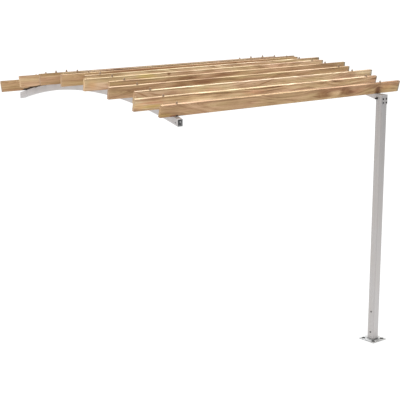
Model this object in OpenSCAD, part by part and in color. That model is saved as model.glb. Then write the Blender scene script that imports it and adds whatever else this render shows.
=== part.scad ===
// Arched pergola module: an open roof of timber slats on edge, bolted on two
// arched aluminium box beams. One beam ends in the head of a square aluminium
// post on a base plate; the other beam has two free, drilled ends for the
// posts of the next module.
// Millimetres. Origin: centre of the underside of the base plate.
// +X along the slats, +Y from the front to the back, +Z up.

/* [Roof] */
// Distance between the two arched beams, centre to centre
beam_spacing = 2340; // [1800:10:2700]
// Radius of the arch, measured to the top of the beams
arch_r = 4460; // [4200:1:4600]
// Height of the crown of the beams above the underside of the base plate
crown_z = 2493.9; // [2300:0.1:2700]
// Distance from the post to the crown, along the depth
crown_y = 1164; // [1154:1:1174]
// Depth from the crown to the back ends of the beams
beam_back = 1228; // [1190:1:1260]
// Depth from the crown to the front ends of the beams
beam_front = 1181; // [1174:1:1194]

/* [Beams] */
// Width of the box beam
beam_w = 50; // [44:1:54]
// Height of the box beam
beam_h = 56; // [52:1:60]
// Wall of the box beam
beam_wall = 3; // [2:0.5:4]
// Rounding of the long edges of the box beam
beam_round = 2; // [1:0.5:2.5]
// Distance of the cross hole from a free beam end
cross_hole_in = 30; // [24:1:40]
// Distance of the cross hole below the top of the beam
cross_hole_down = 36; // [30:1:40]
// Diameter of the cross holes
cross_hole_d = 10; // [9:0.5:12]

/* [Slats] */
// Length of a slat
slat_len = 2760; // [2750:5:3200]
// Height of a slat, along the radius of the arch
slat_h = 100; // [80:1:120]
// Thickness of a slat
slat_t = 26; // [22:1:30]
// Angle from one slat to the next
slat_step = 2.22; // [2.17:0.01:2.24]
// Overhang past the left beam on the odd slats
odd_left = 153; // [120:1:200]
// Overhang past the left beam on the even slats
even_left = 277; // [220:1:320]

/* [Post] */
// Side of the square post
post_w = 70; // [66:1:74]
// Wall of the post
post_wall = 3; // [2.5:0.5:3.5]
// Rounding of the corners of the post
post_round = 3; // [1:0.5:4]
// Side of the square base plate
plate_w = 180; // [170:5:220]
// Thickness of the base plate
plate_t = 8; // [5:1:12]
// Spacing of the four holes of the base plate
plate_holes = 120; // [112:1:128]
// Diameter of the holes of the base plate
plate_hole_d = 34; // [20:1:36]
// Thickness of the plate on the front of the post head
head_plate_t = 6; // [4:1:8]
// Height of the plate on the front of the post head
head_plate_h = 88; // [84:1:100]
// Height of the sleeve inside the foot of the post
sleeve_h = 320; // [300:10:400]

/* [Fasteners] */
// Thread diameter of the slat bolts
bolt_d = 8; // [6:1:8]
// Height of the slat bolts above the slats
bolt_up = 20; // [18:1:24]
// Thread diameter of the cross bolt in the post head
head_bolt_d = 10; // [8:1:10]
// Length of the cross bolt that stands out of the post head
head_bolt_out = 27; // [22:1:32]

/* [Hidden] */
$fn = 48;
n_slats = 14;
eps = 0.05;

// Centre of the arch
arch_z = crown_z - arch_r;
// Height of the beam's top at a given depth from the post axis
function beam_top(y) = arch_z + sqrt(arch_r * arch_r - (y - crown_y) * (y - crown_y));
// Angle from the vertical of a given depth on the beam's top
function arch_angle(y) = asin((y - crown_y) / arch_r);
// Angle of a slat, 1 at the front
function slat_angle(i) = (i - (n_slats + 1) / 2) * slat_step;
// Left end of a slat
function slat_x0(i) = -beam_spacing - (i % 2 == 1 ? odd_left : even_left);

left_x = -beam_spacing;
y_front = crown_y - beam_front;
y_back = crown_y + beam_back;

post_top = beam_top(post_w / 2) - 3;
inner_w = post_w - 2 * post_wall;
fit_gap = 0.3;

// Centres of the cross holes: free front end, free back end, post head
cross_front = [y_front + cross_hole_in, beam_top(y_front + cross_hole_in) - cross_hole_down];
cross_back = [y_back - cross_hole_in, beam_top(y_back - cross_hole_in) - cross_hole_down];
cross_head = [22, beam_top(22) - cross_hole_down];

// Head screws on the front of the post
screw_x = 21;
screw_z = [post_top - 39, post_top - 73];
// Foot screws on both sides of the post
foot_z = [77, 280];

wood_tone = [0.76, 0.61, 0.44];
alu_tone = [0.76, 0.77, 0.78];
post_tone = [0.68, 0.68, 0.67];
plate_tone = [0.86, 0.86, 0.85];
dark_tone = [0.22, 0.21, 0.2];
bolt_tone = [0.5, 0.47, 0.44];

// Square with rounded corners, centred
module rounded_square(w, d, r) {
    square([w - 2 * r, d], center = true);
    square([w, d - 2 * r], center = true);
    for (sx = [-1, 1], sy = [-1, 1])
        translate([sx * (w / 2 - r), sy * (d / 2 - r)]) circle(r = r);
}

// Puts a shape on the arch: its +Z points away from the arch's centre,
// its height counts from the top of the beams
module on_arch(angle) {
    translate([0, crown_y, arch_z]) rotate([-angle, 0, 0]) translate([0, 0, arch_r]) children();
}

// Solid or hollow bar that follows the arch, between two angles
module arch_bar(x, w, h_top, h_low, r, a0, a1) {
    translate([x, crown_y, arch_z])
        rotate([90, 0, 90])
            rotate([0, 0, 90 - a1])
                rotate_extrude(angle = a1 - a0, $fn = 360)
                    translate([arch_r + (h_top + h_low) / 2, 0])
                        rounded_square(h_top - h_low, w, r);
}

// Box beam on the arch with plumb ends, holes for the slat bolts on top and
// one cross hole near each end
module arch_beam(x, front_hole) {
    a0 = arch_angle(y_front) - 0.6;
    a1 = arch_angle(y_back) + 0.6;
    difference() {
        arch_bar(x, beam_w, 0, -beam_h, beam_round, a0, a1);
        arch_bar(x, beam_w - 2 * beam_wall, -beam_wall, -beam_h + beam_wall, 0.8, a0 - 0.2, a1 + 0.2);
        // plumb cuts
        translate([x - beam_w, y_front - 200, 2000]) cube([2 * beam_w, 200, 600]);
        translate([x - beam_w, y_back, 2000]) cube([2 * beam_w, 200, 600]);
        // holes for the slat bolts, through the top wall
        for (i = [1 : n_slats])
            on_arch(slat_angle(i))
                translate([x, 0, -beam_wall - 4]) cylinder(d = bolt_d + 1, h = beam_wall + 8);
        // cross holes
        for (p = [front_hole, cross_back])
            translate([x, p[0], p[1]]) rotate([0, 90, 0])
                cylinder(d = cross_hole_d, h = beam_w + 20, center = true);
    }
}

// Timber slat on edge, with one hole over each beam
module slat(i) {
    difference() {
        on_arch(slat_angle(i))
            translate([slat_x0(i), -slat_t / 2, 0]) cube([slat_len, slat_t, slat_h]);
        for (x = [left_x, 0])
            on_arch(slat_angle(i))
                translate([x, 0, -5]) cylinder(d = bolt_d + 1, h = slat_h + 10);
    }
}

// Bolt of one slat: nut inside the beam, shank, washer and domed cap nut
module slat_bolt(i, x) {
    on_arch(slat_angle(i)) translate([x, 0, 0]) {
        translate([0, 0, -beam_wall - 12]) cylinder(d = bolt_d, h = beam_wall + 12 + slat_h + 6);
        translate([0, 0, -beam_wall - eps - 6.5]) cylinder(d = 15, h = 6.5, $fn = 6);
        translate([0, 0, slat_h]) cylinder(d = 22, h = 2);
        translate([0, 0, slat_h + 2]) cylinder(d = 15, h = 8, $fn = 6);
        translate([0, 0, slat_h + 10]) cylinder(d = 12, h = bolt_up - 16);
        translate([0, 0, slat_h + bolt_up - 6]) sphere(d = 12);
    }
}

// Screw with a domed head on a washer, along +Z, seat at z = 0
module dome_screw(d, head_d, head_h, shank) {
    translate([0, 0, -shank]) cylinder(d = d, h = shank + 1);
    cylinder(d = head_d + 5, h = 1.2);
    translate([0, 0, 1.2]) cylinder(d = head_d, h = head_h * 0.45);
    translate([0, 0, 1.2 + head_h * 0.45])
        intersection() {
            translate([0, 0, head_h * 0.55 - head_d * 0.56]) sphere(d = head_d * 1.12);
            cylinder(d = head_d, h = head_h);
        }
}

module base_plate() {
    color(plate_tone)
    difference() {
        linear_extrude(plate_t) rounded_square(plate_w, plate_w, 4);
        for (sx = [-1, 1], sy = [-1, 1])
            translate([sx * plate_holes / 2, sy * plate_holes / 2, -1])
                cylinder(d = plate_hole_d, h = plate_t + 2);
    }
}

// Square sleeve that stands on the plate inside the foot of the post
module foot_sleeve() {
    color(alu_tone)
    difference() {
        translate([0, 0, plate_t])
            linear_extrude(sleeve_h)
                difference() {
                    rounded_square(inner_w - 2 * fit_gap, inner_w - 2 * fit_gap, 2);
                    square(inner_w - 2 * fit_gap - 8, center = true);
                }
        for (z = foot_z)
            translate([0, 0, z]) rotate([0, 90, 0]) cylinder(d = 7, h = post_w + 20, center = true);
    }
}

// Square tube post, open at the top, with a slot in its back wall for the beam
module post() {
    color(post_tone)
    difference() {
        translate([0, 0, plate_t])
            linear_extrude(post_top - plate_t)
                difference() {
                    rounded_square(post_w, post_w, post_round);
                    rounded_square(inner_w, inner_w, 1);
                }
        // slot for the beam
        translate([-beam_w / 2 - 1, post_w / 2 - post_wall - 2, beam_top(post_w / 2 - post_wall) - beam_h / cos(arch_angle(post_w / 2)) - 3])
            cube([beam_w + 2, post_wall + 10, 300]);
        // hole for the cross bolt
        translate([0, cross_head[0], cross_head[1]]) rotate([0, 90, 0])
            cylinder(d = head_bolt_d + 1, h = post_w + 20, center = true);
        // holes for the head screws
        for (x = [-screw_x, screw_x], z = screw_z)
            translate([x, -post_w / 2, z]) rotate([90, 0, 0]) cylinder(d = 9, h = 20, center = true);
        // holes for the foot screws
        for (z = foot_z)
            translate([0, 0, z]) rotate([0, 90, 0]) cylinder(d = 7, h = post_w + 20, center = true);
    }
}

// Plate on the front of the post head, under the head screws
module head_plate() {
    color(post_tone)
    difference() {
        translate([0, -post_w / 2, post_top - head_plate_h / 2]) rotate([90, 0, 0])
            linear_extrude(head_plate_t) rounded_square(post_w, head_plate_h, 3);
        for (x = [-screw_x, screw_x], z = screw_z)
            translate([x, -post_w / 2, z]) rotate([90, 0, 0]) cylinder(d = 9, h = 30, center = true);
    }
}

// Block inside the post head: a trough that follows the slope of the beam
module beam_saddle() {
    s = inner_w - 2 * fit_gap;
    low = post_top - 125;
    color(alu_tone)
    difference() {
        translate([0, 0, low]) linear_extrude(post_top - 4 - low) rounded_square(s, s, 1);
        // trough for the beam, open at the top and the back
        intersection() {
            arch_bar(0, beam_w + 2 * fit_gap, 60, -beam_h - fit_gap, 2, arch_angle(y_front) - 1.5, arch_angle(y_front) + 3);
            translate([-50, y_front - fit_gap, 2000]) cube([100, 200, 600]);
        }
        // hollow underside
        translate([0, 0, low - 1]) linear_extrude(36) square(s - 10, center = true);
        translate([0, cross_head[0], cross_head[1]]) rotate([0, 90, 0])
            cylinder(d = head_bolt_d + 1, h = post_w + 20, center = true);
        // tapped holes for the head screws, in the front wall of the trough
        for (x = [-screw_x, screw_x], z = screw_z)
            translate([x, -post_w / 2, z]) rotate([-90, 0, 0]) cylinder(d = 8.2, h = post_w / 2 + y_front - 0.2);
    }
}

module left_beam() { color(alu_tone) arch_beam(left_x, cross_front); }
module right_beam() { color(alu_tone) arch_beam(0, cross_head); }

module slat_01() { color(wood_tone) slat(1); }
module slat_02() { color(wood_tone) slat(2); }
module slat_03() { color(wood_tone) slat(3); }
module slat_04() { color(wood_tone) slat(4); }
module slat_05() { color(wood_tone) slat(5); }
module slat_06() { color(wood_tone) slat(6); }
module slat_07() { color(wood_tone) slat(7); }
module slat_08() { color(wood_tone) slat(8); }
module slat_09() { color(wood_tone) slat(9); }
module slat_10() { color(wood_tone) slat(10); }
module slat_11() { color(wood_tone) slat(11); }
module slat_12() { color(wood_tone) slat(12); }
module slat_13() { color(wood_tone) slat(13); }
module slat_14() { color(wood_tone) slat(14); }

module left_slat_bolts() { color(bolt_tone) for (i = [1 : n_slats]) slat_bolt(i, left_x); }
module right_slat_bolts() { color(bolt_tone) for (i = [1 : n_slats]) slat_bolt(i, 0); }

// Cross bolt through the post head, the saddle and the beam
module head_bolt() {
    color(dark_tone)
    translate([0, cross_head[0], cross_head[1]]) {
        rotate([0, 90, 0]) cylinder(d = head_bolt_d, h = post_w + 12, center = true);
        // head on the right
        translate([post_w / 2, 0, 0]) rotate([0, 90, 0]) cylinder(d = 21, h = 2);
        translate([post_w / 2 + 2, 0, 0]) rotate([0, 90, 0]) cylinder(d = 18.5, h = 6.5, $fn = 6);
        // washer, nut and domed end on the left
        translate([-post_w / 2, 0, 0]) rotate([0, -90, 0]) cylinder(d = 21, h = 2);
        translate([-post_w / 2 - 2, 0, 0]) rotate([0, -90, 0]) cylinder(d = 18.5, h = 8, $fn = 6);
        translate([-post_w / 2 - 4, 0, 0]) rotate([0, -90, 0]) cylinder(d = head_bolt_d, h = head_bolt_out - 10);
        translate([-post_w / 2 - head_bolt_out + 13, 0, 0]) rotate([0, -90, 0]) cylinder(d = 16, h = 6);
        translate([-post_w / 2 - head_bolt_out + 8, 0, 0]) sphere(d = 16);
    }
}

// Four screws on the front of the post head
module head_screws() {
    color(dark_tone)
    for (x = [-screw_x, screw_x], k = [0, 1])
        translate([x, -post_w / 2 - head_plate_t, screw_z[k]]) rotate([90, 0, 0])
            dome_screw(7.6, k == 0 ? 14 : 12, 5.5, 18);
}

// Two screws on each side of the foot
module foot_screws() {
    color(dark_tone)
    for (s = [-1, 1], z = foot_z)
        translate([s * post_w / 2, 0, z]) rotate([0, s * 90, 0])
            dome_screw(6, 11, 4, 12);
}

base_plate();
foot_sleeve();
post();
head_plate();
beam_saddle();
left_beam();
right_beam();
slat_01();
slat_02();
slat_03();
slat_04();
slat_05();
slat_06();
slat_07();
slat_08();
slat_09();
slat_10();
slat_11();
slat_12();
slat_13();
slat_14();
left_slat_bolts();
right_slat_bolts();
head_bolt();
head_screws();
foot_screws();
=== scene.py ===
import math
import random

import bmesh
import bpy
from mathutils import Matrix, Vector


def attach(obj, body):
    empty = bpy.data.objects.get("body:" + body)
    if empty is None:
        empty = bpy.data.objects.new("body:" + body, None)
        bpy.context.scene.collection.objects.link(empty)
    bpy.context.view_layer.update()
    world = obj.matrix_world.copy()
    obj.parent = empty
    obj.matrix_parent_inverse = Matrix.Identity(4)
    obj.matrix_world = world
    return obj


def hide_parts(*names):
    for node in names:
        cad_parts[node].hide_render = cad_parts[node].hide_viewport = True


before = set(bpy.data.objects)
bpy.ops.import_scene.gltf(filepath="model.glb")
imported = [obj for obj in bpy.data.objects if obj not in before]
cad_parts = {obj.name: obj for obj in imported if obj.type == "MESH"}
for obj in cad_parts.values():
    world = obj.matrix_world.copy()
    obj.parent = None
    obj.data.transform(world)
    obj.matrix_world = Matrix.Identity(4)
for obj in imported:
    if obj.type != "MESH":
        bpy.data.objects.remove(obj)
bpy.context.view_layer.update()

scene = bpy.context.scene

# ------------------------------------------------------------------ sizes
ARCH_R, ARCH_Y, ARCH_Z = 4.460, 1.164, -1.9661
Y_FRONT, Y_BACK = -0.017, 2.392
BEAM_W, BEAM_H, BEAM_T = 0.050, 0.056, 0.003
LEFT_X, RIGHT_X = -2.340, 0.0
SLAT_L, SLAT_H, SLAT_T = 2.760, 0.100, 0.026
SLATS = 14
SLAT_STEP = math.radians(2.22)
ODD_LEFT, EVEN_LEFT = 0.153, 0.277
POST_W, POST_T = 0.070, 0.003
PLATE_W, PLATE_T, PLATE_HOLES, PLATE_HOLE_D = 0.180, 0.008, 0.120, 0.034
HEAD_T, HEAD_H = 0.006, 0.088


def beam_top(y):
    return ARCH_Z + math.sqrt(ARCH_R ** 2 - (y - ARCH_Y) ** 2)


POST_TOP = beam_top(POST_W / 2) - 0.003
CROSS_FRONT = (Y_FRONT + 0.030, beam_top(Y_FRONT + 0.030) - 0.036)
CROSS_BACK = (Y_BACK - 0.030, beam_top(Y_BACK - 0.030) - 0.036)
CROSS_HEAD = (0.022, beam_top(0.022) - 0.036)
SCREW_X, SCREW_Z = 0.021, (POST_TOP - 0.039, POST_TOP - 0.073)
FOOT_Z = (0.077, 0.280)


def slat_angle(i):
    return (i - (SLATS + 1) / 2) * SLAT_STEP


def slat_x0(i):
    return LEFT_X - (ODD_LEFT if i % 2 else EVEN_LEFT)


def on_arch(angle, x=0.0, up=0.0):
    """Matrix that puts local +Z along the arch's radius, zero on the beam's top."""
    return (
        Matrix.Translation((x, ARCH_Y, ARCH_Z))
        @ Matrix.Rotation(-angle, 4, "X")
        @ Matrix.Translation((0, 0, ARCH_R + up))
    )


# ------------------------------------------------------- shader formulas
class Value:
    """A shader socket that can be used in formulas."""

    def __init__(self, graph, socket):
        self.graph, self.socket = graph, socket

    def __add__(self, o):
        return self.graph.math("ADD", self, o)

    def __radd__(self, o):
        return self.graph.math("ADD", o, self)

    def __sub__(self, o):
        return self.graph.math("SUBTRACT", self, o)

    def __rsub__(self, o):
        return self.graph.math("SUBTRACT", o, self)

    def __mul__(self, o):
        return self.graph.math("MULTIPLY", self, o)

    def __rmul__(self, o):
        return self.graph.math("MULTIPLY", o, self)

    def __truediv__(self, o):
        return self.graph.math("DIVIDE", self, o)


class Graph:
    """A material made of nodes."""

    def __init__(self, name):
        self.mat = bpy.data.materials.new(name)
        self.mat.use_nodes = True
        self.tree = self.mat.node_tree
        self.tree.nodes.clear()
        self.out = self.tree.nodes.new("ShaderNodeOutputMaterial")
        self.bsdf = self.tree.nodes.new("ShaderNodeBsdfPrincipled")
        self.tree.links.new(self.bsdf.outputs["BSDF"], self.out.inputs["Surface"])

    def put(self, value, socket):
        if isinstance(value, Value):
            self.tree.links.new(value.socket, socket)
        else:
            socket.default_value = value

    def set(self, name, value):
        self.put(value, self.bsdf.inputs[name])

    def math(self, op, *args, clamp=False):
        n = self.tree.nodes.new("ShaderNodeMath")
        n.operation, n.use_clamp = op, clamp
        for a, s in zip(args, n.inputs):
            self.put(a, s)
        return Value(self, n.outputs[0])

    def coord(self, kind="Object"):
        n = self.tree.nodes.new("ShaderNodeTexCoord")
        return Value(self, n.outputs[kind])

    def split(self, v):
        n = self.tree.nodes.new("ShaderNodeSeparateXYZ")
        self.put(v, n.inputs[0])
        return [Value(self, o) for o in n.outputs]

    def vec(self, x, y, z):
        n = self.tree.nodes.new("ShaderNodeCombineXYZ")
        for a, s in zip((x, y, z), n.inputs):
            self.put(a, s)
        return Value(self, n.outputs[0])

    def attribute(self, name):
        n = self.tree.nodes.new("ShaderNodeAttribute")
        n.attribute_name = name
        return Value(self, n.outputs["Fac"])

    def noise(self, v, scale=1.0, detail=2.0, rough=0.5, twist=0.0):
        n = self.tree.nodes.new("ShaderNodeTexNoise")
        self.put(v, n.inputs["Vector"])
        for key, a in (("Scale", scale), ("Detail", detail), ("Roughness", rough), ("Distortion", twist)):
            n.inputs[key].default_value = a
        return Value(self, n.outputs[0])

    def noise1(self, w, scale=1.0, detail=2.0, rough=0.5):
        n = self.tree.nodes.new("ShaderNodeTexNoise")
        n.noise_dimensions = "1D"
        self.put(w, n.inputs["W"])
        for key, a in (("Scale", scale), ("Detail", detail), ("Roughness", rough)):
            n.inputs[key].default_value = a
        return Value(self, n.outputs[0])

    def cells(self, v, scale):
        n = self.tree.nodes.new("ShaderNodeTexVoronoi")
        self.put(v, n.inputs["Vector"])
        n.inputs["Scale"].default_value = scale
        return Value(self, n.outputs["Distance"])

    def smooth(self, v, lo, hi):
        """0 below lo, 1 above hi, smooth between them."""
        n = self.tree.nodes.new("ShaderNodeMapRange")
        n.interpolation_type = "SMOOTHSTEP"
        self.put(v, n.inputs["Value"])
        n.inputs["From Min"].default_value, n.inputs["From Max"].default_value = lo, hi
        return Value(self, n.outputs["Result"])

    def ramp(self, v, stops, kind="EASE"):
        n = self.tree.nodes.new("ShaderNodeValToRGB")
        n.color_ramp.interpolation = kind
        el = n.color_ramp.elements
        while len(el) < len(stops):
            el.new(0.5)
        for e, (p, c) in zip(el, stops):
            e.position, e.color = p, (*c, 1.0)
        self.put(v, n.inputs["Fac"])
        return Value(self, n.outputs["Color"])

    def mix(self, fac, a, b, mode="MIX"):
        n = self.tree.nodes.new("ShaderNodeMix")
        n.data_type, n.blend_type = "RGBA", mode
        n.clamp_result = False
        colour = [s for s in n.inputs if s.type == "RGBA"]
        self.put(fac, n.inputs["Factor"])
        for s, c in zip(colour, (a, b)):
            self.put(c if isinstance(c, Value) else (*c, 1.0), s)
        return Value(self, [o for o in n.outputs if o.type == "RGBA"][0])

    def scale(self, colour, v):
        """Colour times a value."""
        n = self.tree.nodes.new("ShaderNodeVectorMath")
        n.operation = "SCALE"
        self.put(colour, n.inputs[0])
        self.put(v, n.inputs["Scale"])
        return Value(self, n.outputs[0])

    def bump(self, height, strength, distance):
        n = self.tree.nodes.new("ShaderNodeBump")
        n.inputs["Strength"].default_value = strength
        n.inputs["Distance"].default_value = distance
        self.put(height, n.inputs["Height"])
        self.tree.links.new(n.outputs["Normal"], self.bsdf.inputs["Normal"])


# ------------------------------------------------------------------ timber
# Per slat: general tone, hue (below 0.5 yellow, above it pink), strength of the figure, tone
# of the sawn ends, knots (along, up, radius), stretches of another shade (kind, along, up,
# half length, half height, amount, rise per length) and eyes of the grain (along, up, half
# length, half height, depth).
SHADES = {
    "heart": (0.58, 0.45, 0.35),
    "pale": (1.34, 1.40, 1.46),
    "pink": (1.06, 0.86, 0.90),
    "yellow": (1.02, 1.05, 0.70),
    "orange": (1.08, 0.97, 0.84),
}
TIMBER = {
    # on slat 1 the knot at 2.482 and the heart patch at 2.470 are painted shade above the post head
    1: ((0.925, 0.857, 0.780), 0.50, 1.0, (0.80, 0.75, 0.70), [(2.482, 0.030, 0.026)],
        [("heart", 1.765, 0.056, 0.125, 0.058, 1.0, 0.0), ("heart", 1.900, 0.088, 0.15, 0.018, 0.9, 0.0),
         ("heart", 2.055, 0.056, 0.115, 0.046, 1.0, -0.15), ("heart", 2.42, 0.080, 0.13, 0.022, 0.65, 0.0),
         ("heart", 2.470, 0.032, 0.034, 0.062, 1.0, 0.0), ("heart", 1.60, 0.012, 0.12, 0.020, 0.40, 0.0),
         ("heart", 0.17, 0.072, 0.10, 0.020, 0.35, 0.0), ("yellow", 0.045, 0.022, 0.06, 0.018, 0.7, 0.0),
         ("pink", 2.20, 0.050, 0.12, 0.030, 0.5, 0.0), ("pale", 1.905, 0.048, 0.075, 0.020, 0.8, 0.0),
         ("orange", 2.58, 0.050, 0.10, 0.050, 0.8, 0.0), ("heart", 2.555, 0.058, 0.070, 0.050, 0.30, 0.0)],
        [(1.90, 0.050, 0.16, 0.036, 0.036), (0.02, 0.010, 0.42, 0.085, 0.085), (1.20, 0.110, 0.22, 0.070, 0.040)]),
    2: ((1.220, 1.269, 1.313), 0.50, 1.05, (1.02, 1.06, 1.18), [],
        [("heart", 1.44, 0.092, 0.19, 0.012, 0.80, 0.0), ("pink", 1.25, 0.066, 0.17, 0.022, 0.80, 0.0),
         ("heart", 0.20, 0.090, 0.24, 0.009, 0.75, 0.0), ("pink", 0.15, 0.061, 0.14, 0.012, 0.95, 0.0),
         ("yellow", 0.18, 0.031, 0.14, 0.014, 0.85, 0.0), ("orange", 0.04, 0.040, 0.06, 0.030, 0.8, 0.0),
         ("pale", 0.68, 0.050, 0.28, 0.080, 0.85, 0.0)],
        [(0.55, 0.020, 0.30, 0.070, 0.020), (2.25, 0.060, 0.30, 0.060, 0.040)]),
    3: ((1.131, 1.221, 1.293), 0.47, 1.30, (0.95, 0.95, 0.90), [],
        [("heart", 0.075, 0.070, 0.080, 0.010, 1.0, -0.35), ("heart", 0.19, 0.066, 0.07, 0.009, 0.8, -0.25),
         ("heart", 1.40, 0.077, 0.130, 0.0075, 1.0, 0.23), ("heart", 1.95, 0.076, 0.09, 0.010, 0.55, -0.1),
         ("pink", 0.80, 0.060, 0.14, 0.024, 0.6, 0.0), ("pale", 2.60, 0.060, 0.18, 0.060, 0.5, 0.0)],
        [(1.62, -0.010, 0.34, 0.095, 0.060), (0.10, 0.030, 0.22, 0.060, 0.035), (2.00, 0.114, 0.22, 0.060, 0.045)]),
    4: ((0.968, 0.973, 0.917), 0.55, 0.75, (0.84, 0.85, 0.88), [],
        [("heart", 0.93, 0.082, 0.26, 0.030, 0.90, 0.0), ("heart", 0.72, 0.070, 0.16, 0.040, 0.80, 0.0)],
        [(0.30, 0.114, 0.30, 0.080, 0.030), (1.90, 0.030, 0.36, 0.070, 0.045)]),
    5: ((0.952, 0.949, 0.866), 0.52, 0.80, (1.03, 1.00, 1.00), [],
        [("heart", 0.78, 0.082, 0.13, 0.026, 0.75, 0.0), ("heart", 1.20, 0.084, 0.14, 0.026, 0.65, 0.0),
         ("heart", 2.52, 0.060, 0.26, 0.050, 0.30, 0.0)],
        [(1.60, 0.020, 0.40, 0.090, 0.060), (0.40, 0.094, 0.24, 0.060, 0.040)]),
    6: ((1.200, 1.251, 1.300), 0.50, 0.85, (1.14, 1.14, 1.15), [(0.865, 0.088, 0.012)],
        [("heart", 1.32, 0.086, 0.09, 0.022, 0.60, 0.0), ("heart", 1.05, 0.094, 0.10, 0.014, 0.40, 0.0),
         ("orange", 0.07, 0.050, 0.07, 0.050, 0.9, 0.0), ("yellow", 0.62, 0.086, 0.12, 0.030, 0.8, 0.0),
         ("pale", 2.10, 0.070, 0.22, 0.040, 0.5, 0.0)],
        [(0.12, 0.030, 0.24, 0.070, 0.020), (2.10, 0.050, 0.34, 0.080, 0.050)]),
    7: ((1.322, 1.483, 1.548), 0.50, 1.20, (0.90, 0.90, 0.88), [],
        [("heart", 2.10, 0.073, 0.30, 0.030, 0.35, 0.0), ("heart", 0.25, 0.084, 0.30, 0.024, 0.50, 0.0)], [(1.30, 0.060, 0.40, 0.080, 0.050)]),
    8: ((1.161, 1.174, 1.086), 0.53, 0.36, (0.92, 0.93, 0.95), [(1.93, 0.077, 0.014)],
        [("heart", 0.92, 0.080, 0.62, 0.050, 0.95, 0.0), ("heart", 2.10, 0.080, 0.90, 0.050, 0.45, 0.0)],
        [(0.40, 0.110, 0.26, 0.060, 0.030), (1.93, 0.077, 0.16, 0.040, 0.030)]),
    9: ((0.924, 0.960, 1.003), 0.44, 1.0, (0.95, 0.95, 0.95), [],
        [("heart", 0.75, 0.073, 0.35, 0.030, 0.35, 0.0), ("heart", 1.90, 0.080, 0.50, 0.030, 0.45, 0.0)], [(1.40, 0.020, 0.40, 0.090, 0.060)]),
    10: ((1.112, 1.081, 1.040), 0.50, 0.40, (0.84, 0.84, 0.86), [(2.20, 0.052, 0.012)],
         [("heart", 0.10, 0.086, 0.14, 0.016, 0.40, 0.0), ("heart", 1.00, 0.084, 0.20, 0.020, 0.45, 0.0)], [(0.30, 0.020, 0.30, 0.080, 0.030)]),
    11: ((0.950, 0.950, 0.950), 0.50, 1.0, (0.95, 0.95, 0.95), [], [("heart", 1.30, 0.073, 0.40, 0.030, 0.45, 0.0)], [(0.60, 0.084, 0.40, 0.080, 0.050)]),
    12: ((1.323, 1.357, 1.399), 0.50, 0.34, (1.17, 1.20, 1.24), [(0.62, 0.031, 0.010)],
         [("pale", 0.12, 0.013, 0.17, 0.009, 0.6, 0.0), ("heart", 1.60, 0.084, 0.24, 0.022, 0.45, 0.0)], [(0.60, 0.110, 0.30, 0.070, 0.020)]),
    13: ((1.040, 1.040, 1.040), 0.46, 1.0, (0.95, 0.95, 0.95), [], [("heart", 1.60, 0.063, 0.30, 0.030, 0.45, 0.0)], [(0.90, 0.042, 0.40, 0.080, 0.050)]),
    14: ((1.097, 1.081, 1.013), 0.54, 0.45, (0.78, 0.76, 0.76), [(1.10, 0.052, 0.012)],
         [("heart", 2.20, 0.084, 0.30, 0.024, 0.45, 0.0)], [(0.12, -0.010, 0.30, 0.070, 0.045)]),
}
# Strength of the thin lines along the grain, where it differs
LINES = {1: 0.60, 2: 1.45, 3: 1.00, 5: 1.20, 8: 0.50, 10: 1.10, 12: 1.00, 14: 1.25}
# Painted contact shade at the lower edge, where the slat sits on a beam: along, half length, height,
# amount, tone. The other slats have faint ones at both beams. The three tones are tones of that painted shade.
BLACK_SHADE, BROWN_SHADE, RED_SHADE = (0.060, 0.045, 0.035), (0.20, 0.14, 0.10), (0.55, 0.32, 0.24)
CONTACT_SHADE = {
    1: [(0.124, 0.036, 0.014, 0.80, RED_SHADE), (0.164, 0.016, 0.013, 1.0, BLACK_SHADE), (0.205, 0.042, 0.007, 0.7, BROWN_SHADE), (2.481, 0.055, 0.018, 0.5, BROWN_SHADE)],
    12: [(0.225, 0.075, 0.009, 0.9, BLACK_SHADE), (2.617, 0.050, 0.016, 0.2, BROWN_SHADE)],
    13: [(0.120, 0.095, 0.018, 1.0, BLACK_SHADE), (2.493, 0.050, 0.016, 0.3, BROWN_SHADE)],
    14: [(0.270, 0.085, 0.028, 1.0, BLACK_SHADE), (2.617, 0.050, 0.016, 0.3, BROWN_SHADE)],
}
# Where along a slat its upper face starts to be darker, to the right end
TOP_DARK_FROM = {1: 2.36, 3: 2.42, 5: 2.42, 7: 2.42, 2: 2.62, 4: 2.62, 6: 2.62, 8: 2.64, 9: 2.71}


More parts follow.
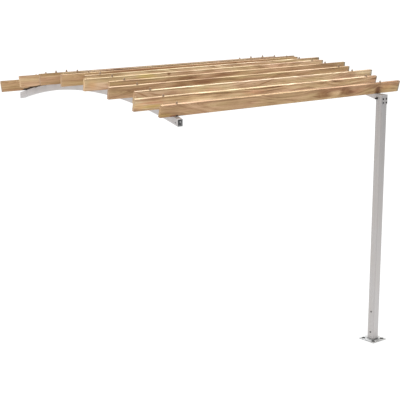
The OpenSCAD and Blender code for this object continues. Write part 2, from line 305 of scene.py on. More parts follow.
def timber(i):
    level, hue, figure, sawn, knots, patches, eyes = TIMBER[i]
    rnd = random.Random(4100 + 17 * i)
    g = Graph(f"timber_{i:02d}")
    o = [rnd.uniform(3.0, 40.0) for _ in range(6)]
    x, y, z = g.split(g.coord())
    # The heart of the log wanders along the slat, so that the growth rings
    # run out of the face in long arches; the eyes are where it comes close.
    side = rnd.choice((-1.0, 1.0))
    sway_y = g.noise1(x * 0.95 + o[0], 1.0, 1.5, 0.5)
    sway_z = g.noise1(x * 0.90 + o[1], 1.0, 1.5, 0.5)
    cy = y - (side * rnd.uniform(0.024, 0.036) + (sway_y - 0.5) * 0.085)
    cz = z - (rnd.uniform(0.020, 0.076) + (sway_z - 0.5) * 0.170)
    warp = g.noise(g.vec(x * 2.6 + o[2], y * 19.0 + o[3], z * 19.0 + o[4]), 1.0, 3.0, 0.55)
    radius = g.math("SQRT", cy * cy + cz * cz) + (warp - 0.5) * 0.012
    for ex, ez, lx, lz, depth in eyes:
        dx, dz = (x - ex) / lx, (z - ez) / lz
        d = g.math("SQRT", dx * dx + dz * dz) + (warp - 0.5) * 0.35
        radius = radius + (1.0 - g.smooth(d, 0.0, 1.5)) * depth
    core = halo = None
    for kx, kz, kr in knots:
        dx, dz = (x - kx) / (kr * 1.15), (z - kz) / (kr * 1.25)
        d = g.math("SQRT", dx * dx + dz * dz) + (warp - 0.5) * 0.9
        c = 1.0 - g.smooth(d, 0.35, 1.10)
        h = 1.0 - g.smooth(d, 0.70, 2.40)
        radius = radius + h * (kr * 0.75)
        core = c if core is None else g.math("MAXIMUM", core, c)
        halo = h if halo is None else g.math("MAXIMUM", halo, h)
    # Growth rings: broad bands, then the single rings with dark late wood
    band = g.noise1(radius * 40.0 + o[5], 1.0, 4.5, 0.62)
    step = rnd.uniform(0.0048, 0.0066)
    turn = g.math("FRACT", radius / step + band * 1.6)
    late = g.smooth(turn, 0.40, 0.92) * (1.0 - g.smooth(turn, 0.93, 1.0))
    # Streaks along the grain, broad tints, fibres and pores
    streak = g.noise(g.vec(x * 1.6 + o[1], y * 34.0 + o[2], z * 34.0 + o[0]), 1.0, 6.0, 0.62, 0.35)
    line = g.noise(g.vec(x * 3.4 + o[5], y * 60.0 + o[3], z * 125.0 + o[4]), 1.0, 2.0, 0.55, 0.25)
    tint = g.noise(g.vec(x * 1.9 + o[4], y * 7.0 + o[0], z * 13.0 + o[5]), 1.0, 2.5, 0.55)
    cloud = g.noise(g.vec(x * 5.5 + o[3], y * 8.0 + o[5], z * 8.0 + o[1]), 1.0, 3.0, 0.55)
    fibre = g.noise(g.vec(x * 8.0 + o[0], y * 520.0, z * 520.0 + o[1]), 1.0, 3.0, 0.6)
    pore = g.smooth(g.noise(g.vec(x * 26.0 + o[3], y * 1500.0, z * 1500.0 + o[2]), 1.0, 1.0, 0.4), 0.60, 0.74)
    middle = g.math("ABSOLUTE", x - SLAT_L / 2)
    ends = g.smooth(middle, SLAT_L / 2 - 0.0022, SLAT_L / 2 - 0.0008)
    tone = (
        0.52
        + (band - 0.5) * (1.25 * figure)
        + (streak - 0.5) * (1.0 - ends * 0.6) * (0.95 * figure)
        + (cloud - 0.5) * (0.65 * figure)
        + (line - 0.5) * (1.0 - ends) * LINES.get(i, 0.85)
        - late * 0.13
        + (fibre - 0.5) * 0.12
    )
    colour = g.ramp(
        tone,
        [
            (0.02, (0.180, 0.098, 0.048)),
            (0.28, (0.345, 0.213, 0.118)),
            (0.50, (0.450, 0.305, 0.180)),
            (0.72, (0.535, 0.382, 0.238)),
            (0.97, (0.620, 0.465, 0.305)),
        ],
        "LINEAR",
    )
    warm = g.smooth(tint + (hue - 0.5), 0.30, 0.70)
    colour = g.mix(1.0, colour, g.mix(warm, (0.985, 1.025, 0.90), (1.035, 0.955, 0.985)), "MULTIPLY")
    shades = {}
    for kind, px, pz, lx, lz, amount, rise in patches:
        along = x - px
        up = z - pz - along * rise if rise else z - pz
        dx, dz = along / lx, up / lz
        d = g.math("SQRT", dx * dx + dz * dz) + (streak - 0.5) * 1.2 + (warp - 0.5) * 0.8
        m = (1.0 - g.smooth(d, 0.30, 1.15)) * amount
        shades[kind] = g.math("MAXIMUM", shades[kind], m) if kind in shades else m
    for kind, m in shades.items():
        colour = g.mix(m, colour, g.mix(1.0, colour, SHADES[kind], "MULTIPLY"))
    if core is not None:
        colour = g.mix(halo * 0.60, colour, g.mix(1.0, colour, (0.58, 0.46, 0.38), "MULTIPLY"))
        rings = g.math("SINE", radius * 3200.0) * 0.02
        colour = g.mix(core * 0.82, colour, g.ramp(rings + 0.5, [(0.45, (0.112, 0.046, 0.017)), (0.55, (0.205, 0.092, 0.034))]))
    # Painted contact shade where the slat sits on the two beams, and painted shade along the lower edge
    left = ODD_LEFT if i % 2 else EVEN_LEFT
    shade_height = z + (warp - 0.5) * 0.010 + (fibre - 0.5) * 0.003
    faint = [(left, 0.05, 0.016, 0.2, BROWN_SHADE), (left + RIGHT_X - LEFT_X, 0.05, 0.016, 0.2, BROWN_SHADE)]
    for sx, length, height, amount, tone in CONTACT_SHADE.get(i, faint):
        reach = g.math("ABSOLUTE", x - sx) + (streak - 0.5) * (0.5 * length)
        m = (1.0 - g.smooth(reach, length * 0.45, length)) * (1.0 - g.smooth(shade_height, height * 0.45, height))
        colour = g.mix(m * amount, colour, g.mix(1.0, colour, tone, "MULTIPLY"))
    # painted shade along the lower edge
    edge = 1.0 - g.smooth(shade_height, 0.001, 0.009)
    colour = g.mix(edge * 0.40, colour, g.mix(1.0, colour, (0.62, 0.52, 0.44), "MULTIPLY"))
    # Sawn ends and arrises have their own tone
    wear = g.attribute("arris") * g.smooth(g.noise(g.vec(x * 22.0 + o[2], y * 60.0, z * 60.0), 1.0, 3.0, 0.6), 0.40, 0.62)
    colour = g.mix(1.0, colour, g.mix(ends, level, sawn), "MULTIPLY")
    # the upper face gets its own tint; on the slats listed above it is darker towards the right end, on slats past 9
    # all along
    top = g.smooth(z, SLAT_H - 0.0024, SLAT_H - 0.0010)
    top_tint, top_dark = (0.94, 0.99, 1.08), (0.56, 0.50, 0.46)
    if i in TOP_DARK_FROM:
        top_tint = g.mix(g.smooth(x, TOP_DARK_FROM[i] - 0.06, TOP_DARK_FROM[i] + 0.04), top_tint, top_dark)
    elif i > 9:
        top_tint = top_dark
    colour = g.mix(top, colour, g.mix(1.0, colour, top_tint, "MULTIPLY"))
    # the right ends are tinted grey-blue a little way in from the saw cut
    grey = g.smooth(x + (streak - 0.5) * 0.012, SLAT_L - 0.026, SLAT_L - 0.010)
    colour = g.mix(grey, colour, g.mix(1.0, colour, (0.70, 0.84, 1.10), "MULTIPLY"))
    # a darker line under the upper edge, and the back half of the upper face darker
    shade = g.smooth(z, SLAT_H - 0.015, SLAT_H - 0.004) * (1.0 - top) * 0.17 + top * g.smooth(y, 0.001, 0.011) * 0.36
    g.set("Base Color", g.scale(colour, 1.0 + wear * 0.10 - pore * 0.16 - shade))
    g.set("Roughness", 0.60 + (fibre - 0.5) * 0.26 + late * 0.08 + ends * 0.16)
    g.set("Specular IOR Level", 0.32)
    g.bump(late * 0.40 + fibre * 0.55 - pore * 0.80 + (streak - 0.5) * 0.5, 0.45, 0.0006)
    return g.mat


# ------------------------------------------------------------------- metal
def aluminium(name, base, metallic, rough, along, grain=1.0):
    """Extruded aluminium: fine die lines along the profile, faint clouds and
    handling marks, with painted light and shade on the post and the plate. along is z for the post, arch for the
    beams, flat for the plate."""
    rnd = random.Random(sum(map(ord, name)))
    o = [rnd.uniform(2.0, 30.0) for _ in range(4)]
    g = Graph(name)
    x, y, z = g.split(g.coord())
    if along == "arch":
        dy, dz = y - ARCH_Y, z - ARCH_Z
        u, v = x, g.math("SQRT", dy * dy + dz * dz)
        w = g.math("ARCTAN2", dy, dz) * ARCH_R
    elif along == "flat":
        u, v, w = z, y, x
    else:
        u, v, w = x, y, z
    lines = g.noise(g.vec(u * 620.0 + o[0], v * 620.0 + o[1], w * 0.9), 1.0, 3.0, 0.65)
    broad = g.noise(g.vec(u * 70.0 + o[2], v * 70.0, w * 0.35 + o[3]), 1.0, 2.0, 0.5)
    cloud = g.noise(g.vec(u * 6.0 + o[1], v * 6.0, w * 3.0 + o[0]), 1.0, 4.0, 0.55)
    speck = g.noise(g.vec(u + o[2], v, w), 1800.0, 2.0, 0.6)
    marks = g.smooth(g.noise(g.vec(u * 40.0 + o[3], v * 40.0 + w * 9.0, w * 34.0), 1.0, 2.0, 0.5, 1.2), 0.66, 0.74)
    tone = (
        1.0
        + (lines - 0.5) * 0.18 * grain
        + (broad - 0.5) * 0.20 * grain
        + (cloud - 0.5) * 0.14
        + (speck - 0.5) * 0.12
        - marks * 0.06
    )
    if along == "z":
        # painted light and shade: paler towards the foot and darker towards the top, more so on the front and back
        # faces; painted shade along the rounded corners and in the corner above the plate
        foot_shade = 1.0 - g.smooth(z + (cloud - 0.5) * 0.012 + (speck - 0.5) * 0.006, PLATE_T + 0.002, PLATE_T + 0.013)
        groove = 1.0 - g.smooth(g.math("MINIMUM", g.math("ABSOLUTE", x), g.math("ABSOLUTE", y)), 0.0012, 0.0034)
        front = g.smooth(g.math("ABSOLUTE", y) - g.math("ABSOLUTE", x), 0.0, 0.004)
        height = g.smooth(z, 0.05, 2.40)
        corner = g.smooth(g.math("MINIMUM", g.math("ABSOLUTE", x), g.math("ABSOLUTE", y)), 0.0290, 0.0330)
        tone = (tone + 0.06 - height * 0.13 - groove * 0.07 - corner * 0.10 + front * (0.13 - height * 0.26)) * (1.0 - foot_shade * 0.55)
    elif along == "flat":
        # painted shade in the corner around the post and in a ring round each hole
        ax, ay = g.math("ABSOLUTE", x), g.math("ABSOLUTE", y)
        near = g.math("MAXIMUM", ax, ay) + (cloud - 0.5) * 0.010 + (speck - 0.5) * 0.004
        hx, hy = ax - PLATE_HOLES / 2, ay - PLATE_HOLES / 2
        rim = g.math("SQRT", hx * hx + hy * hy) + (cloud - 0.5) * 0.003
        foot_shade = g.math("MAXIMUM", 1.0 - g.smooth(near, POST_W / 2, POST_W / 2 + 0.021), (1.0 - g.smooth(rim, PLATE_HOLE_D / 2, PLATE_HOLE_D / 2 + 0.0055)) * 1.2)
        tone = tone * (1.0 - foot_shade * 0.60)
    side = 0.5 if along == "z" else 1.0
    cool = g.mix(g.smooth(cloud, 0.35, 0.65), (base[0] * 1.012, base[1], base[2] * 0.985), (base[0] * (1 - 0.015 * side), base[1], base[2] * (1 + 0.02 * side)))
    g.set("Base Color", g.scale(cool, tone))
    g.set("Metallic", metallic)
    g.set("Roughness", rough + (cloud - 0.5) * 0.16 + (lines - 0.5) * 0.12 * grain + marks * 0.10 + (speck - 0.5) * 0.06)
    g.bump(lines * 0.6 * grain + speck * 0.35 - marks * 0.4, 0.20, 0.0003)
    return g.mat


def bored(name):
    """Inside of a bored hole: near-black painted shade, mottled, with turned rings."""
    g = Graph(name)
    x, y, z = g.split(g.coord())
    mottle = g.noise(g.vec(x, y, z), 160.0, 4.0, 0.6)
    turn = g.noise(g.vec(x * 20.0, y * 20.0, z * 2600.0), 1.0, 2.0, 0.5)
    g.set("Base Color", g.ramp(mottle * 0.7 + turn * 0.3, [(0.30, (0.010, 0.010, 0.010)), (0.70, (0.055, 0.052, 0.048))]))
    g.set("Roughness", 0.62 + (mottle - 0.5) * 0.4)
    g.set("Metallic", 0.2)
    g.bump(turn, 0.2, 0.0003)
    return g.mat


def dark_steel(name, seed, base, metallic=0.45):
    """Burnished steel with darker clouds and paler, rubbed spots."""
    rnd = random.Random(seed)
    o = [rnd.uniform(1.0, 20.0) for _ in range(3)]
    g = Graph(name)
    x, y, z = g.split(g.coord())
    p = g.vec(x + o[0], y + o[1], z + o[2])
    cloud = g.noise(p, 130.0, 4.0, 0.6)
    fine = g.noise(p, 1500.0, 3.0, 0.6)
    rub = g.smooth(g.noise(p, 320.0, 3.0, 0.65), 0.60, 0.72)
    stops = [(0.30, tuple(0.6 * c for c in base)), (0.52, base), (0.75, tuple(1.5 * c for c in base))]
    colour = g.ramp(cloud * 0.7 + fine * 0.3, stops)
    colour = g.mix(rub * 0.35, colour, tuple(0.10 + 1.6 * c for c in base))
    g.set("Base Color", colour)
    g.set("Metallic", metallic)
    g.set("Roughness", 0.46 + (cloud - 0.5) * 0.30 - rub * 0.10)
    g.bump(fine * 0.6 + cloud * 0.4, 0.18, 0.0003)
    return g.mat


# ---------------------------------------------------------------- geometry
def add(name, verts, faces, mats, index=None, sharp=32.0, attribute=None):
    me = bpy.data.meshes.new(name)
    me.from_pydata([tuple(v) for v in verts], [], faces)
    if attribute is not None:
        a = me.attributes.new(attribute[0], "FLOAT", "POINT")
        a.data.foreach_set("value", attribute[1])
    for m in mats:
        me.materials.append(m)
    if index is not None:
        me.polygons.foreach_set("material_index", index)
    bm = bmesh.new()
    bm.from_mesh(me)
    bmesh.ops.recalc_face_normals(bm, faces=bm.faces)
    bm.to_mesh(me)
    bm.free()
    ob = bpy.data.objects.new(name, me)
    scene.collection.objects.link(ob)
    shade(ob, sharp)
    return ob


def shade(ob, sharp=32.0):
    ob.data.shade_smooth()
    ob.data.set_sharp_from_angle(angle=math.radians(sharp))


def settle(ob):
    """Applies the modifiers of ob to its mesh."""
    dg = bpy.context.evaluated_depsgraph_get()
    me = bpy.data.meshes.new_from_object(ob.evaluated_get(dg), preserve_all_data_layers=True, depsgraph=dg)
    old, name = ob.data, ob.data.name
    ob.modifiers.clear()
    ob.data = me
    bpy.data.meshes.remove(old)
    me.name = name


def cut(ob, shapes, index=1):
    """Takes closed shapes, lists of (verts, faces), out of ob. The new walls get material slot index."""
    verts, faces = [], []
    for v, f in shapes:
        k = len(verts)
        verts += v
        faces += [tuple(a + k for a in q) for q in f]
    tool = add("cutter", verts, faces, [m for m in ob.data.materials], [index] * len(faces))
    mod = ob.modifiers.new("cut", "BOOLEAN")
    mod.operation, mod.solver, mod.object = "DIFFERENCE", "EXACT", tool
    bpy.context.view_layer.update()
    settle(ob)
    me = tool.data
    bpy.data.objects.remove(tool)
    bpy.data.meshes.remove(me)


def soften(ob, width, angle=50.0, segments=2):
    """Small bevel on sharp edges."""
    mod = ob.modifiers.new("bevel", "BEVEL")
    mod.width, mod.segments = width, segments
    mod.limit_method, mod.angle_limit = "ANGLE", math.radians(angle)
    mod.use_clamp_overlap = True
    bpy.context.view_layer.update()
    settle(ob)


def even(ob):
    """Shading normals that follow the large faces."""
    mod = ob.modifiers.new("normals", "WEIGHTED_NORMAL")
    mod.keep_sharp = True


def rod(start, end, r, n=40):
    """Closed cylinder from start to end."""
    a, b = Vector(start), Vector(end)
    q = (b - a).to_track_quat("Z", "Y").to_matrix()
    ring = [q @ Vector((r * math.cos(2 * math.pi * k / n), r * math.sin(2 * math.pi * k / n), 0)) for k in range(n)]
    verts = [a + p for p in ring] + [b + p for p in ring]
    faces = [(k, (k + 1) % n, n + (k + 1) % n, n + k) for k in range(n)]
    return verts, faces + [tuple(reversed(range(n))), tuple(range(n, 2 * n))]


def block(lo, hi):
    """Closed box."""
    verts = [Vector((x, y, z)) for z in (lo[2], hi[2]) for x, y in ((lo[0], lo[1]), (hi[0], lo[1]), (hi[0], hi[1]), (lo[0], hi[1]))]
    return verts, [(3, 2, 1, 0), (4, 5, 6, 7), (0, 1, 5, 4), (1, 2, 6, 5), (2, 3, 7, 6), (3, 0, 4, 7)]


def rounded(w, h, r, seg):
    """Rounded rectangle, centred, counter-clockwise."""
    loop = []
    for cx, cy, a0 in ((1, 1, 0), (-1, 1, 90), (-1, -1, 180), (1, -1, 270)):
        for k in range(seg + 1):
            a = math.radians(a0 + 90 * k / seg)
            loop.append((cx * (w / 2 - r) + r * math.cos(a), cy * (h / 2 - r) + r * math.sin(a)))
    return loop


def stack(rings):
    """Closed skin over a stack of rings of equal count; a ring of one point is a tip."""
    verts, faces, start = [], [], []
    for r in rings:
        start.append(len(verts))
        verts += r
    for (a, ra), (b, rb) in zip(zip(start, rings), list(zip(start, rings))[1:]):
        n = max(len(ra), len(rb))
        for k in range(n):
            j = (k + 1) % n
            if len(ra) == 1:
                faces.append((a, b + j, b + k))
            elif len(rb) == 1:
                faces.append((a + k, a + j, b))
            else:
                faces.append((a + k, a + j, b + j, b + k))
    for s, r, flip in ((start[0], rings[0], True), (start[-1], rings[-1], False)):
        if len(r) > 1:
            f = list(range(s, s + len(r)))
            faces.append(tuple(reversed(f)) if flip else tuple(f))
    return verts, faces


def turned(profile, matrix, n=24):
    """Turned part with hexagons: profile is a list of (height, radius, flats), where flats is the
    half width across the flats of a hexagon that trims the radius, or None."""
    rings = []
    for h, r, flats in profile:
        if r == 0:
            rings.append([matrix @ Vector((0, 0, h))])
            continue
        ring = []
        for k in range(n):
            a = 2 * math.pi * k / n
            rr = r
            if flats:
                t = (a + math.pi / 6) % (math.pi / 3) - math.pi / 6
                rr = min(r, flats / math.cos(t))
            ring.append(matrix @ Vector((rr * math.cos(a), rr * math.sin(a), h)))
        rings.append(ring)
    return stack(rings)


def joined(parts):
    verts, faces = [], []
    for v, f in parts:
        k = len(verts)
        verts += v
        faces += [tuple(a + k for a in q) for q in f]
    return verts, faces


def finish_piece(ob, node):
    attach(ob, "root")
    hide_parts(node)
    return ob


# ------------------------------------------------------------------ slats
def slat(i):
    rnd = random.Random(900 + i)
    r, seg = 0.0015, 4
    loop, arris = [], []
    # rounded outline with a supporting point beside each arris
    base = rounded(SLAT_T, SLAT_H, r, seg)
    for k, p in enumerate(base):
        loop.append(p)
        arris.append(1.0)
        if k % (seg + 1) == seg:
            q = base[(k + 1) % len(base)]
            run = math.dist(p, q)
            for t in (0.006, run / 2, run - 0.006):
                loop.append((p[0] + (q[0] - p[0]) * t / run, p[1] + (q[1] - p[1]) * t / run))
                arris.append(0.0)
    left = ODD_LEFT if i % 2 else EVEN_LEFT
    bow, crook = rnd.uniform(-0.0011, 0.0011), rnd.uniform(-0.0005, 0.0005)

    def drift(x):
        a = (x - left) * (x - left - (RIGHT_X - LEFT_X)) / 1.37
        return bow * a, crook * a

    stations = [0.0, 0.0006, 0.0012, 0.010]
    stations += [0.05 * k for k in range(1, 55)]
    stations += [SLAT_L - s for s in (0.010, 0.0012, 0.0006, 0.0)]
    rings, values = [], []
    for x in stations:
        inset = max(0.0, 0.0009 - min(x, SLAT_L - x) * 0.9)
        dy, dz = drift(x)
        ky, kz = 1 - inset / (SLAT_T / 2), 1 - inset / (SLAT_H / 2)
        rings.append([Vector((x, p[0] * ky + dy, SLAT_H / 2 + p[1] * kz + dz)) for p in loop])
        values += arris if inset == 0 else [1.0] * len(arris)
    verts, faces = stack(rings)
    ob = add(f"timber_slat_{i:02d}", verts, faces, [timber(i)], sharp=60.0, attribute=("arris", values))
    cut(ob, [rod((left + d, 0, -0.02), (left + d, 0, SLAT_H + 0.02), 0.0045, 20) for d in (0.0, RIGHT_X - LEFT_X)], 0)
    shade(ob, 60.0)
    even(ob)
    ob.matrix_world = on_arch(slat_angle(i), slat_x0(i))
    return finish_piece(ob, f"slat_{i:02d}")


# ------------------------------------------------------------------ beams
def beam(name, node, x0, front):
    outer = rounded(BEAM_W, BEAM_H, 0.002, 4)
    inner = rounded(BEAM_W - 2 * BEAM_T, BEAM_H - 2 * BEAM_T, 0.0008, 4)
    n, steps = len(outer), 84
    verts, faces, index = [], [], []

    def place(u, v, t):
        rr = ARCH_R - BEAM_H / 2 + v
        a0, a1 = math.asin((Y_FRONT - ARCH_Y) / rr), math.asin((Y_BACK - ARCH_Y) / rr)
        a = a0 + (a1 - a0) * t
        return Vector((x0 + u, ARCH_Y + rr * math.sin(a), ARCH_Z + rr * math.cos(a)))

    for s in range(steps + 1):
        verts += [place(u, v, s / steps) for u, v in outer]
        verts += [place(u, v, s / steps) for u, v in inner]
    for s in range(steps):
        a, b = s * 2 * n, (s + 1) * 2 * n
        for k in range(n):
            j = (k + 1) % n
            faces.append((a + k, a + j, b + j, b + k))
            index.append(0)
            faces.append((a + n + j, a + n + k, b + n + k, b + n + j))
            index.append(1)
    for a in (0, steps * 2 * n):
        for k in range(n):
            j = (k + 1) % n
            faces.append((a + k, a + j, a + n + j, a + n + k))
            index.append(1)
    ob = add(name, verts, faces, [MATS["beam"], MATS["beam_inside"]], index)
    holes = [rod((x0 - 0.06, y, z), (x0 + 0.06, y, z), 0.005) for y, z in (front, CROSS_BACK)]
    for i in range(1, SLATS + 1):
        m = on_arch(slat_angle(i), x0)
        holes.append(rod(m @ Vector((0, 0, -0.010)), m @ Vector((0, 0, 0.008)), 0.0045, 20))
    cut(ob, holes)
    shade(ob)
    even(ob)
    return finish_piece(ob, node)


# ------------------------------------------------------------------- post
def post():
    outer = rounded(POST_W, POST_W, 0.003, 5)
    inner = rounded(POST_W - 2 * POST_T, POST_W - 2 * POST_T, 0.001, 5)
    n = len(outer)
    levels = [PLATE_T + (POST_TOP - PLATE_T) * k / 18 for k in range(19)]
    verts, faces, index = [], [], []
    for z in levels:
        verts += [Vector((u, v, z)) for u, v in outer] + [Vector((u, v, z)) for u, v in inner]
    for s in range(len(levels) - 1):
        a, b = s * 2 * n, (s + 1) * 2 * n
        for k in range(n):
            j = (k + 1) % n
            faces.append((a + k, a + j, b + j, b + k))
            index.append(0)
            faces.append((a + n + j, a + n + k, b + n + k, b + n + j))
            index.append(1)
    for a in (0, (len(levels) - 1) * 2 * n):
        for k in range(n):
            j = (k + 1) % n
            faces.append((a + k, a + j, a + n + j, a + n + k))
            index.append(0)
    ob = add("post_tube", verts, faces, [MATS["post"], MATS["post_inside"]], index)
    slope = math.asin((POST_W / 2 - ARCH_Y) / ARCH_R)
    slot_low = beam_top(POST_W / 2 - POST_T) - BEAM_H / math.cos(slope) - 0.003
    shapes = [block((-BEAM_W / 2 - 0.001, POST_W / 2 - POST_T - 0.002, slot_low), (BEAM_W / 2 + 0.001, POST_W / 2 + 0.007, POST_TOP + 0.2))]
    y, z = CROSS_HEAD
    shapes.append(rod((-0.06, y, z), (0.06, y, z), 0.0055))
    shapes += [rod((x, -0.045, z), (x, -0.025, z), 0.0045) for x in (-SCREW_X, SCREW_X) for z in SCREW_Z]
    shapes += [rod((-0.06, 0, z), (0.06, 0, z), 0.0035, 28) for z in FOOT_Z]
    cut(ob, shapes)
    shade(ob)
    even(ob)
    return finish_piece(ob, "post")


def plate():
    loop = rounded(PLATE_W, PLATE_W, 0.004, 6)
    verts, faces = stack([[Vector((u, v, 0)) for u, v in loop], [Vector((u, v, PLATE_T)) for u, v in loop]])
    ob = add("foot_plate", verts, faces, [MATS["plate"], MATS["bore"]])
    h = PLATE_HOLES / 2
    cut(ob, [rod((sx * h, sy * h, -0.01), (sx * h, sy * h, 0.03), PLATE_HOLE_D / 2, 48) for sx in (-1, 1) for sy in (-1, 1)])
    soften(ob, 0.0007, 50.0)
    shade(ob, 40.0)
    even(ob)
    return finish_piece(ob, "base_plate")


def head_plate():
    loop = rounded(POST_W, HEAD_H, 0.003, 6)
    z = POST_TOP - HEAD_H / 2
    back, front = -POST_W / 2, -POST_W / 2 - HEAD_T
    verts, faces = stack([[Vector((u, f, z + v)) for u, v in loop] for f in (back, front)])
    ob = add("head_cover_plate", verts, faces, [MATS["post"], MATS["bore"]])
    cut(ob, [rod((x, back + 0.01, z), (x, front - 0.01, z), 0.0045, 28) for x in (-SCREW_X, SCREW_X) for z in SCREW_Z])
    soften(ob, 0.0007, 50.0)
    shade(ob, 40.0)
    even(ob)
    return finish_piece(ob, "head_plate")


# -------------------------------------------------------------- fasteners
def dome(h0, h1, r, count=6):
    """Points of a quarter ellipse from (h0, r) to the tip at h1."""
    return [(h0 + (h1 - h0) * math.sin(math.pi / 2 * k / count), r * math.cos(math.pi / 2 * k / count), None) for k in range(1, count)] + [(h1, 0, None)]


def washer(h, r, t=0.002):
    e = 0.00035
    return [(h, r - e, None), (h + e, r, None), (h + t - e, r, None), (h + t, r - e, None)]


def hexagon(h, t, flats, both=True):
    """Hexagon of height t with its corners trimmed to a cone at the top, or at both ends."""
    corner = flats / math.cos(math.pi / 6)
    c = (corner - flats) * 0.58
    low = [(h, flats * 0.985, None), (h + c * 0.5, flats + (corner - flats) * 0.5, flats), (h + c, corner, flats)] if both else [(h, corner, flats)]
    high = [(h + t - c, corner, flats), (h + t - c * 0.5, flats + (corner - flats) * 0.5, flats), (h + t, flats * 0.985, None)]
    return low + high


def thread(h0, h1, r, pitch=0.00125):
    """Rings of a screw thread, seen from the side."""
    out, h = [], h0
    while h + pitch < h1:
        out += [(h, r - 0.0006, None), (h + pitch * 0.40, r, None), (h + pitch * 0.60, r, None)]
        h += pitch
    return out


def slat_bolt(i, x):
    m = on_arch(slat_angle(i), x, SLAT_H)
    nut = -SLAT_H - BEAM_T - 0.00005
    profile = [(nut - 0.012, 0.0032, None), (nut - 0.0112, 0.0040, None)]
    profile += thread(nut - 0.0108, nut - 0.0066, 0.0040)
    profile += [(nut - 0.0065, 0.0040, None)] + hexagon(nut - 0.0065, 0.0065, 0.0065)
    profile += [(nut, 0.0040, None), (-0.0002, 0.0040, None)] + washer(0.0, 0.0110)
    profile += hexagon(0.0020, 0.0080, 0.0065)
    profile += [(0.0100, 0.0060, None), (0.0140, 0.0060, None)] + dome(0.0140, 0.0200, 0.0060)
    return turned(profile, m @ Matrix.Rotation(0.37 * i + 0.9 * abs(x), 4, "Z"))


def slat_bolts(name, node, x, mat):
    verts, faces = joined([slat_bolt(i, x) for i in range(1, SLATS + 1)])
    ob = add(name, verts, faces, [mat], sharp=38.0)
    return finish_piece(ob, node)


def cross_bolt():
    y, z = CROSS_HEAD
    half = POST_W / 2
    # local +Z runs to the left, out of the post
    m = Matrix.Translation((0, y, z)) @ Matrix.Rotation(-math.pi / 2, 4, "Y")
    profile = hexagon(-half - 0.0085, 0.0065, 0.0080)
    profile += washer(-half - 0.0020, 0.0105)
    profile += [(-half + 0.0001, 0.0050, None), (half - 0.0001, 0.0050, None)] + washer(half, 0.0105)
    profile += hexagon(half + 0.0020, 0.0080, 0.0080)
    profile += [(half + 0.0100, 0.0050, None)] + thread(half + 0.0101, half + 0.0138, 0.0050, 0.0012)
    profile += [(half + 0.0139, 0.0050, None), (half + 0.0140, 0.0076, None), (half + 0.0145, 0.0080, None), (half + 0.0190, 0.0080, None)]
    profile += dome(half + 0.0190, half + 0.0270, 0.0080)
    verts, faces = turned(profile, m, 48)
    ob = add("cross_bolt", verts, faces, [MATS["steel"]], sharp=38.0)
    return finish_piece(ob, "head_bolt")


def domed_screw(m, d, head, height, shank):
    """Screw with a washer and a domed head that has a hexagon socket."""
    r, socket = head / 2, head * 0.22
    profile = [(-shank, d / 2 - 0.0006, None), (-shank + 0.0006, d / 2, None), (-0.0001, d / 2, None)]
    profile += washer(0.0, r + 0.0025, 0.0012)
    low, top = 0.0012 + height * 0.45, 0.0012 + height
    profile += [(0.0012, r * 0.99, None), (low, r, None)]
    for k in range(1, 6):
        a = math.pi / 2 * k / 6
        h, q = low + (top - low) * math.sin(a), r * math.cos(a)
        if q > socket * 1.30:
            profile.append((h, q, None))
    profile += [(top - 0.0001, socket * 1.22, None), (top - 0.0004, socket * 1.16, socket), (top - height * 0.45, socket * 1.16, socket), (top - height * 0.55, 0, None)]
    return turned(profile, m, 36)


def head_screws():
    parts = []
    for x in (-SCREW_X, SCREW_X):
        for k, z in enumerate(SCREW_Z):
            m = Matrix.Translation((x, -POST_W / 2 - HEAD_T, z)) @ Matrix.Rotation(math.pi / 2, 4, "X") @ Matrix.Rotation(0.4 + k + 20 * x, 4, "Z")
            parts.append(domed_screw(m, 0.0076, 0.014 if k == 0 else 0.012, 0.0055, 0.018))
    verts, faces = joined(parts)
    ob = add("front_head_screws", verts, faces, [MATS["steel"]], sharp=38.0)
    return finish_piece(ob, "head_screws")


def foot_screws():
    parts = []
    for s in (-1, 1):
        for z in FOOT_Z:
            m = Matrix.Translation((s * POST_W / 2, 0, z)) @ Matrix.Rotation(s * math.pi / 2, 4, "Y") @ Matrix.Rotation(0.3 + 4 * z, 4, "Z")
            parts.append(domed_screw(m, 0.006, 0.011, 0.004, 0.012))
    verts, faces = joined(parts)
    ob = add("foot_side_screws", verts, faces, [MATS["steel"]], sharp=38.0)
    return finish_piece(ob, "foot_screws")


# ------------------------------------------------------------------ build
MATS = {
    "beam": aluminium("beam_aluminium", (0.472, 0.448, 0.440), 0.35, 0.44, "arch"),
    "beam_inside": aluminium("beam_inside", (0.40, 0.40, 0.40), 0.25, 0.60, "arch"),
    "post": aluminium("post_aluminium", (0.432, 0.416, 0.410), 0.30, 0.46, "z"),
    "post_inside": aluminium("post_inside", (0.22, 0.22, 0.22), 0.35, 0.60, "z"),
    "plate": aluminium("plate_aluminium", (0.350, 0.350, 0.345), 0.20, 0.50, "flat", grain=0.6),
    "bore": bored("bore_painted_shade"),
    "steel": dark_steel("dark_steel", 5, (0.030, 0.027, 0.025)),
    "bolts": dark_steel("bolt_steel", 9, (0.265, 0.182, 0.118), 0.10),
}

for i in range(1, SLATS + 1):
    slat(i)
beam("left_arch_beam", "left_beam", LEFT_X, CROSS_FRONT)
beam("right_arch_beam", "right_beam", RIGHT_X, CROSS_HEAD)
post()
head_plate()
plate()
slat_bolts("left_cap_bolts", "left_slat_bolts", LEFT_X, MATS["bolts"])
slat_bolts("right_cap_bolts", "right_slat_bolts", RIGHT_X, MATS["bolts"])
cross_bolt()
head_screws()
foot_screws()

for node, mat in (("foot_sleeve", MATS["post_inside"]), ("beam_saddle", MATS["beam"])):
    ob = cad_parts[node]
    for s in ob.material_slots:
        s.material = mat

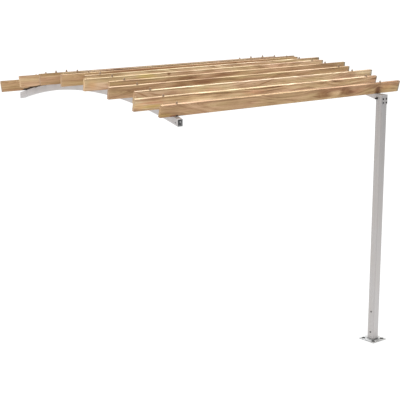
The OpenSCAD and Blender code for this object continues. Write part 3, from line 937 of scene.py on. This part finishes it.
# ------------------------------------------------------------------ stage
def floor():
    me = bpy.data.meshes.new("floor")
    s = 160.0
    me.from_pydata([(-s, -s, 0), (s, -s, 0), (s, s, 0), (-s, s, 0)], [], [(0, 1, 2, 3)])
    ob = bpy.data.objects.new("floor", me)
    scene.collection.objects.link(ob)
    ob.location.z = -0.0005
    g = Graph("pale_floor")
    x, y, z = g.split(g.coord())
    # no glow where the base plate stands
    reach = g.math("MAXIMUM", g.math("ABSOLUTE", x), g.math("ABSOLUTE", y))
    glow = g.smooth(reach, 0.080, 0.093)
    speck = g.noise(g.vec(x, y, z), 30.0, 2.0, 0.5)
    g.set("Base Color", g.ramp(speck, [(0.2, (0.030, 0.030, 0.030)), (0.8, (0.036, 0.036, 0.036))]))
    g.set("Roughness", 0.9)
    g.set("Specular IOR Level", 0.1)
    g.set("Emission Color", (1.0, 1.0, 1.0, 1.0))
    g.set("Emission Strength", glow * 0.985)
    me.materials.append(g.mat)


def sun(name, energy, direction, angle):
    """Soft parallel light from the given side."""
    data = bpy.data.lights.new(name, "SUN")
    data.energy, data.angle = energy, math.radians(angle)
    ob = bpy.data.objects.new(name, data)
    ob.rotation_mode = "QUATERNION"
    ob.rotation_quaternion = Vector(direction).to_track_quat("Z", "Y")
    scene.collection.objects.link(ob)


floor()
world = bpy.data.worlds.new("studio")
world.use_nodes = True
world.node_tree.nodes["Background"].inputs["Color"].default_value = (1.0, 1.0, 1.0, 1.0)
world.node_tree.nodes["Background"].inputs["Strength"].default_value = 0.95
scene.world = world
sun("top_light", 6.0, (0.0, 0.26, 0.966), 24.0)
sun("side_light", 0.5, (-0.90, -0.10, 0.42), 50.0)

cam = bpy.data.cameras.new("camera")
cam.lens, cam.sensor_width = 95.90, 36.0
cam.clip_start, cam.clip_end = 0.1, 1000.0
eye = bpy.data.objects.new("camera", cam)
eye.location = (-7.3801, -6.4431, 3.5251)
eye.rotation_mode = "QUATERNION"
eye.rotation_quaternion = Vector((0.61645, 0.75642, -0.21867)).to_track_quat("-Z", "Y")
scene.collection.objects.link(eye)
scene.camera = eye
scene.view_settings.view_transform = "Standard"
scene.view_settings.look = "None"
